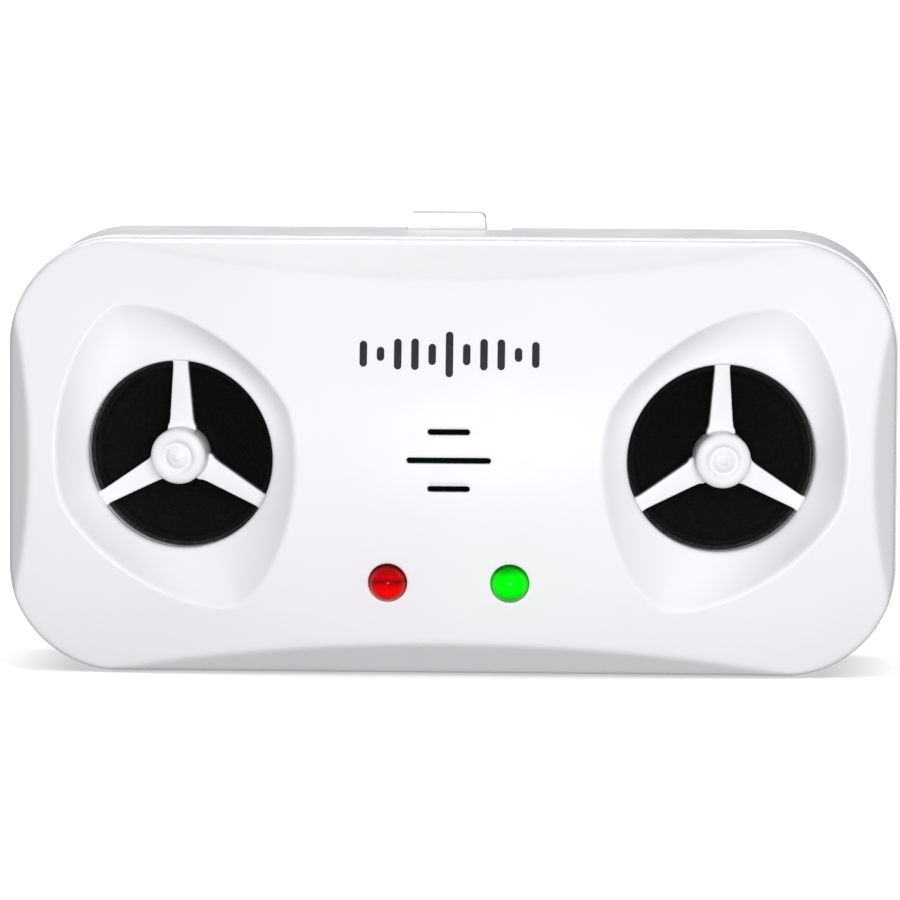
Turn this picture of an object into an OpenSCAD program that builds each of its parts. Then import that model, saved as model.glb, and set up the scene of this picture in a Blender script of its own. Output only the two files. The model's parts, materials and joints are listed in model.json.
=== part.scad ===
// Twin-speaker ultrasonic pest repeller.
// X runs to the right, Y to the back and Z up, in millimetres.
// The origin is at the middle of the underside, which stands on the floor.

/* [Body] */
// Width of the case
body_w = 120; // [114:1:150]
// Height of the case
body_h = 59; // [57:1:75]
// Depth of the case, front to back
body_d = 40; // [38:1:52]
// Radius of the four corners seen from the front
corner_r = 15; // [13:0.5:18]
// Thickness of the moulded walls
wall = 2; // [1.6:0.1:2.2]

/* [Front shell] */
// Depth of the front shell from the seam to the crown of its face
front_d = 14; // [13.5:0.5:17]
// Fall of the domed face from its crown to the left and right edges
sag_x = 7.1; // [6:0.1:8]
// Fall of the domed face from its crown to the top and bottom edges
sag_z = 6.17; // [5:0.1:7]
// Height of the upright skirt beside the seam
skirt_h = 3.6; // [3:0.1:4.5]
// Lean of the four side walls above the skirt, in degrees
wall_lean = 36.9; // [30:0.5:42]
// Width of the shadow line at the seam
seam_gap = 0.4; // [0.2:0.1:0.8]
// How far the tongue of the rear shell reaches into the front shell
tongue_l = 1.6; // [1:0.1:2.4]
// Thickness of the tongue
tongue_t = 0.9; // [0.7:0.1:1.1]
// Clearance around the tongue
tongue_gap = 0.1; // [0.05:0.05:0.2]

/* [Rear shell] */
// Radius of the edge around the back
rear_edge_r = 3; // [2:0.5:4]
// Distance from the side walls to the case screws
post_inset = 10; // [9.5:0.5:12]
// Outer radius of the case screw posts
post_r = 4.2; // [3.9:0.1:4.6]
// Radius of the wells for the case screw heads
well_r = 3; // [2.9:0.1:3.2]
// Distance between the two wall-hanging keyholes
keyhole_pitch = 50; // [46:1:56]
// Height of the keyholes above the middle of the back
keyhole_up = 4; // [0:1:6]
// Radius of the keyhole for the screw head
keyhole_r = 4; // [3:0.1:4.2]
// Radius of the keyhole's narrow end
keyhole_neck_r = 2.1; // [1.5:0.1:2.2]
// Length from the head hole to the narrow end
keyhole_l = 6; // [5:0.5:8]

// Width of the blank rating label
label_w = 34; // [28:1:36]
// Height of the blank rating label
label_h = 15; // [10:1:18]
// Clearance around the label
label_gap = 0.2; // [0.1:0.05:0.4]

/* [Speaker openings] */
// Distance from each side wall to the middle of its speaker
speaker_inset = 23.7; // [23.5:0.1:27]
// Height of the speakers above the middle
speaker_up = 0.4; // [-1:0.1:1.5]
// Height of the opening above the seam
speaker_h = 6.2; // [5.5:0.1:7]
// Turn of each speaker towards its side, in degrees
speaker_out = 8.9; // [6:0.1:10]
// Turn of each speaker downwards, in degrees
speaker_down = 5; // [3:0.5:7]
// Radius of the speaker opening
opening_r = 12.75; // [11:0.05:13]
// Thickness of the lip in front of the guard
lip_t = 0.85; // [0.6:0.05:1]

/* [Recesses] */
// Half length of the leaf-shaped recess
leaf_a = 21.6; // [20:0.1:22]
// Half width of the leaf-shaped recess
leaf_b = 15.1; // [15:0.1:15.4]
// Lean of the recess, its top towards the side, in degrees
leaf_lean = 19.5; // [12:0.5:24]
// Offset of the recess from its speaker towards the side
leaf_dx = 1.1; // [0.8:0.1:1.4]
// Height above the seam where the upright rim of the recess begins
leaf_h = 8.4; // [8:0.1:9]
// Flat margin between the opening and the foot of the recess wall
leaf_foot = 1; // [0.6:0.1:1.4]

/* [Speaker guards] */
// Radius of the hub
hub_r = 3.75; // [3:0.05:4.2]
// How far the hub stands out in front of the opening
hub_rise = 2.5; // [1.5:0.1:3]
// Rounding of the hub's front edge
hub_edge = 1; // [0.6:0.1:1.2]
// Radius of the groove on the hub
hub_groove_r = 1.9; // [1.5:0.1:2.2]
// Spoke width at the hub
spoke_w_in = 3.5; // [2.8:0.1:4]
// Spoke width at the ring
spoke_w_out = 2; // [1.6:0.1:2.4]
// Overlap of the guard ring behind the lip
guard_lap = 1.55; // [1.2:0.05:1.7]
// Inner margin of the guard ring inside the opening
guard_show = 0.25; // [0:0.05:0.5]
// Clearance around the guard ring
guard_gap = 0.15; // [0.1:0.05:0.25]

/* [Speakers] */
// Radius of the speaker flange
flange_r = 15.6; // [15.3:0.1:16]
// Thickness of the speaker flange
flange_t = 1.5; // [1.2:0.1:1.8]
// Thickness of the foam gasket
gasket_t = 0.5; // [0.3:0.1:0.7]
// Radius of the circle that the speaker screws lie on
ear_ring_r = 16.6; // [16.5:0.1:17]
// Radius of each speaker ear
ear_r = 2.6; // [2.2:0.1:2.8]
// Depth of the speaker basket behind its flange
basket_d = 7.4; // [7:0.1:8]
// Thickness of the paper cone
cone_t = 0.3; // [0.2:0.05:0.4]
// Depth of the paper cone
cone_d = 5.7; // [5.5:0.1:6]
// Radius of the brass piezo disc
piezo_r = 4.9; // [4:0.1:5]
// Length of the solder tags
tag_l = 2; // [1.6:0.1:2.4]
// Distance of the outer solder tags from their middle
tag_x = 3; // [2.5:0.1:3.4]
// Radius of the insulated wires
wire_r = 0.5; // [0.4:0.05:0.6]
// How far the speaker wires run towards the middle of the case
wire_run = 12; // [8:0.5:14]

/* [Lights and vents] */
// Distance of each light from the middle
led_x = 8.17; // [8:0.1:10]
// Distance of the lights below the middle
led_drop = 16.1; // [15:0.1:17]
// Radius of a light
led_r = 2.5; // [1.5:0.1:2.5]
// How far a light stands out of the face
led_rise = 1.87; // [1:0.1:2]
// Clearance around a light
led_gap = 0.1; // [0.05:0.05:0.2]
// Height of the middle vent slot above the middle
slots_up = 0.5; // [-1:0.1:1]
// Length of the middle vent slot
slot_l = 11.3; // [9:0.1:14]
// Length of the upper and lower vent slots
slot_short_l = 5.7; // [4:0.1:8]
// Height of a vent slot
slot_w = 0.8; // [0.6:0.1:1.2]
// Spacing of the vent slots
slot_pitch = 3.8; // [3:0.1:4.5]

/* [Printed symbol] */
// Height of the symbol above the middle
symbol_up = 14.6; // [12:0.1:15]
// Number of bars in the symbol
symbol_bars = 11; // [7:2:13]
// Spacing of the bars
symbol_pitch = 2.3; // [2:0.1:2.4]
// Width of a bar
symbol_bar_w = 1; // [0.8:0.1:1.2]
// Height of the tallest bar
symbol_max = 6; // [5:0.1:6.5]
// Thickness of the ink
ink_t = 0.06; // [0.04:0.01:0.1]

/* [Slide switch] */
// Width of the switch cap
cap_w = 10.8; // [9:0.1:11]
// Depth of the switch cap
cap_d = 5; // [4:0.1:5.4]
// Height of the cap above the case
cap_rise = 2.2; // [2:0.1:3.5]
// Travel of the switch
switch_travel = 3.3; // [3:0.1:4.5]
// Depth of the track that the cap slides in
track_depth = 0.8; // [0.5:0.1:1]
// Clearance at each end of the track
track_gap = 0.15; // [0.1:0.05:0.3]
// Distance from the back to the middle of the switch
switch_inset = 4.8; // [4.6:0.1:5.2]
// Width of the sliding stem
stem_w = 3; // [2.5:0.1:3.5]
// Depth of the sliding stem
stem_d = 1.8; // [1.4:0.1:2]
// Height of the switch can
can_h = 4.8; // [4:0.1:5.5]
// Depth of the switch can, front to back
can_d = 5.4; // [5:0.1:5.6]
// Distance between the switch screws
can_pitch = 17; // [16:0.5:19]
// Length of the bosses that hold the switch
can_drop = 4.5; // [4:0.1:5.5]
// Thickness of the can's sheet metal
sheet_t = 0.4; // [0.3:0.1:0.5]

/* [Circuit board] */
// Distance from the seam to the front of the board
board_back = 12.5; // [12:0.1:13]
// Thickness of the board
board_t = 1.6; // [1.2:0.1:1.6]
// Height of the board
board_h = 38; // [36:1:44]
// Space between the board and the case screw posts
board_margin = 2.8; // [1:0.1:4]
// Distance from the board's edges to its screws
board_hole_in = 5; // [4:0.5:6]
// Radius of the board's posts
stand_r = 2.6; // [2.2:0.1:3]

/* [Power inlet] */
// Distance of the inlet below the middle
inlet_drop = 15; // [14:0.5:16]
// Radius of the inlet's round collar
inlet_r = 4; // [3.8:0.1:4.5]
// Radius of the plug hole
inlet_hole_r = 2.75; // [2.5:0.05:3]
// Radius of the centre pin
inlet_pin_r = 1.05; // [0.8:0.05:1.3]
// Width of the inlet's square housing
inlet_w = 9; // [8.8:0.1:10]

/* [Screws] */
// Radius of a case screw
case_screw_r = 1.45; // [1.2:0.05:1.5]
// Radius of a case screw's head
case_head_r = 2.75; // [2.4:0.05:2.8]
// Radius of a small screw
small_screw_r = 0.8; // [0.7:0.05:0.9]
// Radius of a small screw's head
small_head_r = 1.6; // [1.4:0.05:1.7]
// Clearance around screws in plain holes
screw_gap = 0.05; // [0.02:0.01:0.2]

/* [Hidden] */
$fn = 64;
eps = 0.01;

// Main planes
front_y = -body_d / 2;
rear_y = body_d / 2;
seam_y = front_y + front_d;
mid_z = body_h / 2;
lean = tan(wall_lean);
dome_rx = (pow(body_w / 2, 2) + pow(sag_x, 2)) / (2 * sag_x);
dome_rz = (pow(body_h / 2, 2) + pow(sag_z, 2)) / (2 * sag_z);

// Height of the domed face above the seam, at x and at height z
function dome_h(x, z) =
  let (ring = dome_rx - dome_rz + sqrt(pow(dome_rz, 2) - pow(z - mid_z, 2)))
  front_d - dome_rx + sqrt(pow(ring, 2) - pow(x, 2));

// Speaker stack, measured along the speaker's own axis from the opening's plane
speaker_x = body_w / 2 - speaker_inset;
speaker_y = seam_y - speaker_h;
speaker_z = mid_z + speaker_up;
floor_w = -wall;
gasket_back = floor_w - gasket_t;
cone_seat = gasket_back - cone_t;
flange_back = gasket_back - flange_t;
basket_back = flange_back - basket_d;
cone_bottom = gasket_back - cone_d;
guard_r = opening_r + guard_lap;
guard_t = wall - lip_t - 0.1;
throat_r = opening_r - 0.45;
frame_in_r = opening_r + 0.35;
cone_rim_r = frame_in_r + 1.7;
apex_r = 3.1;
magnet_r = 8.4;
magnet_in_r = 5.5;
tag_board_t = 0.8;
boss_r = 2.2;
boss_pilot_l = 2.9;

// Switch
switch_y = rear_y - switch_inset;
track_floor = body_h - track_depth;
track_w = cap_w + switch_travel + 2 * track_gap;
cap_x = -switch_travel / 2;
cap_lift = 0.2;
can_top = body_h - wall - can_drop;
can_w = can_pitch - 5;
stem_low = can_top - can_h + 1.4;
stem_high = body_h + cap_rise - 1.2;
slot_x = stem_w + switch_travel + 0.6;
slot_y = stem_d + 0.6;

// Board and posts
post_x = body_w / 2 - post_inset;
post_dz = body_h / 2 - post_inset;
board_y = seam_y + board_back;
board_back_y = board_y + board_t;
board_w = 2 * (post_x - post_r - board_margin);
board_z = mid_z - 2;
stand_x = board_w / 2 - board_hole_in;
stand_dz = board_h / 2 - board_hole_in;
inner_back = rear_y - wall;
screw_seat_y = seam_y + 11;
post_pilot_h = 4.6;

// Lights
led_z = mid_z - led_drop;
led_tip_h = dome_h(led_x, led_z) + led_rise;
led_base_h = led_tip_h - 8.6;
led_flange_t = 1;
led_sleeve_r = 4;
leg_r = 0.25;
leg_x = 1.27;

// Inlet and chip
inlet_z = mid_z - inlet_drop;
inlet_pin_x = 2.4;
chip_x = 15;

// ---------- helpers ----------

// Extrudes an outline drawn in X and Z along Y, from y0 to y1
module along_y(y0, y1) {
  translate([0, y1, 0])
    rotate([90, 0, 0])
      linear_extrude(y1 - y0)
        children();
}

// Rounded rectangle, centred
module round_rect(w, h, r) {
  square([w - 2 * r, h], center = true);
  square([w, h - 2 * r], center = true);
  for (sx = [-1, 1], sy = [-1, 1])
    translate([sx * (w / 2 - r), sy * (h / 2 - r)])
      circle(r);
}

// Outline of the case seen from the front, inset by i
module case_outline(i) {
  translate([0, mid_z])
    round_rect(body_w - 2 * i, body_h - 2 * i, corner_r - i);
}

// Bar with round ends, centred, running along X
module stadium(l, w) {
  square([l - w, w], center = true);
  for (s = [-1, 1])
    translate([s * (l - w) / 2, 0])
      circle(w / 2);
}

// Eight-sided tube swept along a smooth path through the points; side is never parallel to the path
function unit(v) = v / norm(v);
function spline(a, b, c, d, t) =
  0.5 * (2 * b + (c - a) * t + (2 * a - 5 * b + 4 * c - d) * t * t + (3 * b - a - 3 * c + d) * t * t * t);
function smooth_path(p, n) = [
  for (i = [0 : len(p) - 2], k = [0 : n - 1])
    spline(p[max(i - 1, 0)], p[i], p[i + 1], p[min(i + 2, len(p) - 1)], k / n),
  p[len(p) - 1]
];
function heading(p, i) = unit(p[min(i + 1, len(p) - 1)] - p[max(i - 1, 0)]);
function tube_ring(p, i, r, side) =
  let (d = heading(p, i), u = unit(cross(d, side)), v = cross(d, u))
  [for (k = [0 : 7]) p[i] + r * (cos(k * 45) * u + sin(k * 45) * v)];

module wire(points, r, side) {
  p = smooth_path(points, 2);
  n = len(p);
  verts = [for (i = [0 : n - 1]) each tube_ring(p, i, r, side)];
  sides = [
    for (i = [0 : n - 2], k = [0 : 7])
      let (a = i * 8 + k, b = i * 8 + (k + 1) % 8)
      each [[a, a + 8, b], [b, a + 8, b + 8]]
  ];
  ends = [[for (k = [0 : 7]) k], [for (k = [7 : -1 : 0]) (n - 1) * 8 + k]];
  polyhedron(verts, concat(sides, ends));
}

// Cylinder along Y from y0 to y1 at (x, z)
module peg(x, z, r, y0, y1) {
  translate([x, y1, z])
    rotate([90, 0, 0])
      cylinder(r = r, h = y1 - y0);
}

// Places children on a speaker's axis: local +Z points out of the opening
module at_speaker(s) {
  translate([s * speaker_x, speaker_y, speaker_z])
    rotate([speaker_down, 0, s * speaker_out])
      rotate([90, 0, 0])
        children();
}

// Puts children at the three speaker ears
module at_ears() {
  for (a = [30, 150, 270])
    rotate([0, 0, a])
      translate([ear_ring_r, 0, 0])
        children();
}

// ---------- front shell ----------

module dome(i) {
  translate([0, front_y + dome_rx, mid_z])
    rotate_extrude($fn = 180)
      translate([dome_rx - dome_rz, 0])
        circle(dome_rz - i, $fn = 180);
}

// Half width of a leaning wall pair at height h above the seam
function lean_half(half, h, i) = half - (h - skirt_h) * lean - i * sqrt(1 + lean * lean);

module leaning_walls(i) {
  h0 = -8;
  h1 = front_d + 2;
  z0 = lean_half(body_h / 2, h0, i);
  z1 = lean_half(body_h / 2, h1, i);
  x0 = lean_half(body_w / 2, h0, i);
  x1 = lean_half(body_w / 2, h1, i);
  intersection() {
    rotate([90, 0, 90])
      linear_extrude(body_w + 20, center = true)
        polygon([
          [seam_y - h0, mid_z + z0], [seam_y - h1, mid_z + z1],
          [seam_y - h1, mid_z - z1], [seam_y - h0, mid_z - z0]
        ]);
    translate([0, 0, mid_z])
      linear_extrude(body_h + 20, center = true)
        polygon([
          [x0, seam_y - h0], [x1, seam_y - h1],
          [-x1, seam_y - h1], [-x0, seam_y - h0]
        ]);
  }
}

module front_blank(i, y_back) {
  intersection() {
    along_y(front_y - 1, y_back)
      case_outline(i);
    leaning_walls(i);
    dome(i);
  }
}

// Leaf-shaped bowl around a speaker; grow thickens it into the bowl's wall
module bowl(s, grow) {
  hull() {
    at_speaker(s)
      translate([0, 0, -grow])
        cylinder(r = opening_r + leaf_foot + grow, h = 0.02, $fn = 40);
    translate([s * (speaker_x + leaf_dx), seam_y - leaf_h, speaker_z])
      rotate([90, 0, s * asin((speaker_x + leaf_dx) / dome_rx)])
        rotate([0, 0, -s * leaf_lean])
          linear_extrude(12)
            scale([leaf_b + grow, leaf_a + grow])
              circle(1, $fn = 48);
  }
}

module front_shell() {
  color("white")
    difference() {
      intersection() {
        front_blank(0, seam_y);
        union() {
          difference() {
            front_blank(0, seam_y);
            front_blank(wall, seam_y + 2);
          }
          for (s = [-1, 1])
            bowl(s, wall);
          for (s = [-1, 1])
            at_speaker(s)
              at_ears()
                translate([0, 0, gasket_back])
                  cylinder(r = boss_r, h = 5);
          for (sx = [-1, 1], sz = [-1, 1])
            peg(sx * post_x, mid_z + sz * post_dz, post_r - 1.2, front_y, seam_y);
          for (s = [-1, 1])
            peg(s * led_x, led_z, led_sleeve_r, front_y, seam_y - led_base_h - led_flange_t - led_gap);
        }
      }
      for (s = [-1, 1])
        bowl(s, 0);
      for (s = [-1, 1])
        at_speaker(s)
          translate([0, 0, -wall - 4])
            cylinder(r = opening_r, h = wall + 8);
      for (s = [-1, 1])
        at_speaker(s)
          translate([0, 0, gasket_back - 4])
            cylinder(r = guard_r + guard_gap, h = 4 + gasket_t + wall - lip_t);
      for (s = [-1, 1])
        at_speaker(s)
          at_ears()
            translate([0, 0, gasket_back - eps])
              cylinder(r = small_screw_r + screw_gap, h = boss_pilot_l + eps, $fn = 32);
      for (s = [-1, 1])
        peg(s * led_x, led_z, led_r + led_gap, front_y - 2, seam_y);
      for (k = [-1, 0, 1])
        along_y(front_y - 1, seam_y)
          translate([0, mid_z + slots_up + k * slot_pitch])
            stadium(k == 0 ? slot_l : slot_short_l, slot_w);
      for (sx = [-1, 1], sz = [-1, 1])
        peg(sx * post_x, mid_z + sz * post_dz, case_screw_r + screw_gap, seam_y - post_pilot_h, seam_y + 1);
      along_y(seam_y - tongue_l - tongue_gap, seam_y + 1)
        difference() {
          case_outline(wall - tongue_t - tongue_gap);
          case_outline(wall + 1);
        }
    }
}

// ---------- rear shell ----------

// Half profile of the case's edge: outer face at x = reach, back at y = depth
module edge_profile(reach, depth, r) {
  difference() {
    square([reach, depth]);
    translate([reach - r, depth - r])
      difference() {
        square(r + 1);
        circle(r);
      }
  }
}

module rear_blank() {
  depth = rear_y - seam_y - seam_gap;
  y0 = seam_y + seam_gap;
  cx = body_w / 2 - corner_r;
  cz = body_h / 2 - corner_r;
  translate([0, y0, mid_z])
    rotate([-90, 0, 0]) {
      for (sx = [-1, 1], sz = [-1, 1])
        translate([sx * cx, sz * cz, 0])
          rotate_extrude()
            edge_profile(corner_r, depth, rear_edge_r);
      for (a = [0, 180])
        rotate([0, 0, a])
          translate([0, cz, 0])
            rotate([90, 0, 90])
              linear_extrude(2 * cx, center = true)
                edge_profile(corner_r, depth, rear_edge_r);
      for (a = [0, 180])
        rotate([0, 0, a])
          translate([cx, 0, 0])
            rotate([90, 0, 0])
              linear_extrude(2 * cz, center = true)
                edge_profile(corner_r, depth, rear_edge_r);
      translate([-cx, -cz, 0])
        cube([2 * cx, 2 * cz, depth]);
    }
}

module rear_shell() {
  color("white")
    difference() {
      union() {
        difference() {
          rear_blank();
          along_y(seam_y - 1, inner_back)
            case_outline(wall);
        }
        along_y(seam_y - tongue_l, seam_y + 3)
          difference() {
            case_outline(wall - tongue_t);
            case_outline(wall);
          }
        for (sx = [-1, 1], sz = [-1, 1])
          peg(sx * post_x, mid_z + sz * post_dz, post_r, seam_y + 0.1, inner_back + eps);
        for (sx = [-1, 1], sz = [-1, 1])
          peg(sx * stand_x, board_z + sz * stand_dz, stand_r, board_back_y, inner_back + eps);
        for (s = [-1, 1])
          translate([s * can_pitch / 2, switch_y, can_top])
            cylinder(r = 2.2, h = can_drop + eps);
      }
      for (sx = [-1, 1], sz = [-1, 1])
        peg(sx * post_x, mid_z + sz * post_dz, case_screw_r + 0.2, seam_y - 1, rear_y);
      for (sx = [-1, 1], sz = [-1, 1])
        peg(sx * post_x, mid_z + sz * post_dz, well_r, screw_seat_y, rear_y + 1);
      for (sx = [-1, 1], sz = [-1, 1])
        peg(sx * stand_x, board_z + sz * stand_dz, small_screw_r + screw_gap, board_back_y - 1, board_back_y + 6);
      for (s = [-1, 1])
        translate([s * can_pitch / 2, switch_y, can_top - 1])
          cylinder(r = small_screw_r + screw_gap, h = 5, $fn = 32);
      translate([0, switch_y, 0])
        translate([-track_w / 2, -cap_d / 2 - track_gap, track_floor])
          cube([track_w, switch_inset + cap_d / 2 + track_gap + 1, track_depth + 1]);
      translate([-slot_x / 2, switch_y - slot_y / 2, body_h - wall - 1])
        cube([slot_x, slot_y, wall + 2]);
      peg(0, inlet_z, inlet_r + 0.1, inner_back - 1, rear_y + 1);
      for (s = [-1, 1])
        along_y(inner_back - 1, rear_y + 1)
          translate([s * keyhole_pitch / 2, mid_z + keyhole_up]) {
            circle(keyhole_r);
            translate([-keyhole_neck_r, 0])
              square([2 * keyhole_neck_r, keyhole_l]);
            translate([0, keyhole_l])
              circle(keyhole_neck_r);
          }
      along_y(rear_y - 0.2, rear_y + 1)
        translate([0, mid_z])
          round_rect(label_w + 2 * label_gap, label_h + 2 * label_gap, 1.4);
    }
}

// ---------- speaker guards ----------

module guard(s) {
  ring_front = -lip_t - 0.1;
  spoke_back = ring_front - guard_t + 0.1;
  spoke_front = ring_front + 0.35;
  color("white")
    at_speaker(s)
      union() {
        translate([0, 0, ring_front - guard_t])
          difference() {
            cylinder(r = guard_r, h = guard_t);
            translate([0, 0, -1])
              cylinder(r = opening_r - guard_show, h = guard_t + 2);
          }
        for (a = [90, 210, 330])
          rotate([0, 0, a])
            translate([0, 0, spoke_back])
              linear_extrude(spoke_front - spoke_back)
                polygon([
                  [hub_r - 1.5, -spoke_w_in / 2], [opening_r - guard_show / 2, -spoke_w_out / 2],
                  [opening_r - guard_show / 2, spoke_w_out / 2], [hub_r - 1.5, spoke_w_in / 2]
                ]);
        translate([0, 0, spoke_back])
          difference() {
            rotate_extrude()
              difference() {
                square([hub_r, hub_rise - spoke_back]);
                translate([hub_r - hub_edge, hub_rise - spoke_back - hub_edge])
                  difference() {
                    square(hub_edge + 1);
                    circle(hub_edge);
                  }
              }
            translate([0, 0, hub_rise - spoke_back - 0.45])
              difference() {
                cylinder(r = hub_groove_r + 0.2, h = 1);
                translate([0, 0, -1])
                  cylinder(r = hub_groove_r - 0.2, h = 3);
              }
          }
        translate([0, 0, hub_rise - 0.1])
          cylinder(r = 0.5, h = 0.35);
      }
}

// ---------- speakers ----------

module speaker_gasket(s) {
  color([0.07, 0.07, 0.07])
    at_speaker(s)
      translate([0, 0, gasket_back])
        difference() {
          cylinder(r = flange_r - 1.4, h = gasket_t);
          translate([0, 0, -1])
            cylinder(r = throat_r, h = gasket_t + 2);
        }
}

module speaker_frame(s) {
  color([0.1, 0.1, 0.1])
    at_speaker(s)
      difference() {
        union() {
          rotate_extrude()
            polygon([
              [frame_in_r, cone_seat], [cone_rim_r + 0.1, cone_seat],
              [cone_rim_r + 0.1, gasket_back], [flange_r, gasket_back],
              [flange_r, flange_back], [frame_in_r + 1.4, flange_back],
              [magnet_r, basket_back + 1], [magnet_r, basket_back],
              [magnet_in_r, basket_back], [magnet_in_r, basket_back + 1],
              [magnet_r - 1.2, basket_back + 1], [frame_in_r, flange_back - 0.3]
            ]);
          at_ears()
            translate([0, 0, flange_back])
              difference() {
                cylinder(r = ear_r, h = flange_t);
                translate([-ear_ring_r, 0, -1])
                  cylinder(r = (flange_r + cone_rim_r + 0.1) / 2, h = flange_t + 2);
              }
        }
        at_ears()
          translate([0, 0, flange_back - 1])
            cylinder(r = small_screw_r + 0.15, h = flange_t + 2, $fn = 32);
        for (a = [0, 90, 180, 270])
          rotate([0, 0, a + 45])
            translate([magnet_r + 0.8, -3, basket_back + 1.8])
              cube([8, 6, basket_d - 2.8]);
      }
}

module speaker_cone(s) {
  color([0.06, 0.06, 0.06])
    at_speaker(s)
      rotate_extrude()
        polygon([
          [cone_rim_r, gasket_back], [cone_rim_r, cone_seat],
          [frame_in_r - 0.8, cone_seat], [apex_r, cone_bottom - cone_t],
          [0, cone_bottom - cone_t], [0, cone_bottom],
          [apex_r + 0.1, cone_bottom], [frame_in_r - 0.7, gasket_back]
        ]);
}

module piezo_disc(s) {
  color([0.78, 0.62, 0.3])
    at_speaker(s)
      translate([0, 0, cone_bottom - cone_t - 0.3])
        cylinder(r = piezo_r, h = 0.3);
}

module piezo_ceramic(s) {
  color([0.85, 0.83, 0.78])
    at_speaker(s)
      translate([0, 0, cone_bottom - cone_t - 0.55])
        cylinder(r = piezo_r - 1.4, h = 0.25);
}

// Fibre tag board with two solder tags, under the back of the basket
module speaker_terminals(s) {
  color([0.5, 0.35, 0.2])
    at_speaker(s)
      translate([0, -(magnet_r + magnet_in_r) / 2, basket_back - tag_board_t]) {
        translate([-4.5, -1.4, 0])
          cube([9, 2.8, tag_board_t]);
        for (k = [-1, 1])
          translate([k * tag_x - 0.6, -0.2, -tag_l])
            cube([1.2, 0.4, tag_l + 0.1]);
      }
}

module speaker_screws() {
  color("silver")
    for (s = [-1, 1])
      at_speaker(s)
        at_ears() {
          translate([0, 0, flange_back])
            cylinder(r = small_screw_r, h = flange_t + boss_pilot_l - 0.3, $fn = 32);
          translate([0, 0, flange_back - 1.1])
            difference() {
              cylinder(r = small_head_r, h = 1.1);
              for (a = [0, 90])
                rotate([0, 0, a])
                  translate([-1, -0.2, -0.5])
                    cube([2, 0.4, 1]);
            }
        }
}

// ---------- lights ----------

module led(s, tint) {
  base_y = seam_y - led_base_h;
  color(tint)
    translate([s * led_x, base_y, led_z])
      rotate([90, 0, 0]) {
        cylinder(r = led_r + 0.4, h = led_flange_t);
        cylinder(r = led_r, h = 8.6 - led_r);
        translate([0, 0, 8.6 - led_r])
          sphere(led_r);
      }
}

module led_legs() {
  color("silver")
    for (s = [-1, 1], k = [-1, 1])
      peg(s * led_x + k * leg_x, led_z, leg_r, seam_y - led_base_h, board_y);
}

module printed_symbol() {
  color([0.05, 0.05, 0.06])
    intersection() {
      difference() {
        dome(-ink_t);
        dome(0);
      }
      along_y(front_y - 1, seam_y - 8)
        translate([0, mid_z + symbol_up])
          for (k = [-(symbol_bars - 1) / 2 : (symbol_bars - 1) / 2])
            translate([k * symbol_pitch, 0])
              rotate(90)
                stadium(bar_height(k), symbol_bar_w);
    }
}
// Bars rise and fall like a short burst of sound
function bar_height(k) =
  symbol_bar_w * 1.4 + (symbol_max - symbol_bar_w * 1.4) * abs(cos(k * 70)) * (1 - abs(k) / 9);

// ---------- circuit board ----------

module circuit_board() {
  color([0.1, 0.4, 0.2])
    difference() {
      along_y(board_y, board_back_y)
        translate([0, board_z])
          round_rect(board_w, board_h, 1.5);
      for (sx = [-1, 1], sz = [-1, 1])
        peg(sx * stand_x, board_z + sz * stand_dz, small_screw_r + 0.2, board_y - 1, board_back_y + 1);
      for (s = [-1, 1])
        translate([s * inlet_pin_x - 0.5, board_y - 1, inlet_z - 5])
          cube([1, board_t + 2, 0.6]);
    }
}

module control_chip() {
  color([0.08, 0.08, 0.09]) {
    translate([chip_x - 3.2, board_back_y + 0.5, board_z - 9.5])
      cube([6.4, 3.4, 19]);
    for (k = [-3 : 3], s = [-1, 1])
      translate([chip_x + s * 3.4 - 0.2, board_back_y, board_z - 0.3 + k * 2.54])
        cube([0.4, 2.2, 0.6]);
  }
}

module capacitors() {
  color([0.15, 0.16, 0.2])
    for (p = [[-7, 6, 4, 11], [7, 6, 3.2, 9], [0, -2, 2.5, 7]])
      translate([p[0], board_y, board_z + p[1]])
        rotate([90, 0, 0])
          difference() {
            cylinder(r = p[2], h = p[3]);
            translate([0, 0, p[3] - 1.6])
              difference() {
                cylinder(r = p[2] + 1, h = 0.6);
                translate([0, 0, -1])
                  cylinder(r = p[2] - 0.25, h = 3);
              }
          }
}

module choke_coil() {
  color([0.7, 0.35, 0.15])
    translate([0, board_y, board_z - 13])
      rotate([90, 0, 0])
        difference() {
          cylinder(r = 4, h = 7);
          translate([0, 0, 1])
            difference() {
              cylinder(r = 5, h = 5);
              translate([0, 0, -1])
                cylinder(r = 3.2, h = 7);
            }
        }
}

module transistors() {
  color([0.06, 0.06, 0.06])
    for (x = [-28, -20, -12])
      translate([x, board_back_y, board_z + 10]) {
        translate([0, 3, 0])
          rotate([-90, 0, 0])
            intersection() {
              cylinder(r = 2.3, h = 4.5);
              translate([-3, -3, 0])
                cube([6, 4.6, 4.5]);
            }
        for (k = [-1, 0, 1])
          translate([k * 1.27 - 0.2, 0, -0.2])
            cube([0.4, 3.1, 0.4]);
      }
}

module resistors() {
  color([0.75, 0.65, 0.45])
    for (k = [0 : 5])
      translate([-32 + k * 5, board_back_y, board_z - 4]) {
        translate([0, 1.2, -3])
          cylinder(r = 0.95, h = 6, $fn = 32);
        for (e = [-1, 1])
          translate([0, 1.2, e * 4.2 - 0.25]) {
            translate([-0.25, -1.2, 0])
              cube([0.5, 1.45, 0.5]);
            translate([-0.25, -0.25, e > 0 ? -1.4 : 0])
              cube([0.5, 0.5, 1.9]);
          }
      }
}

// ---------- power inlet ----------

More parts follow.
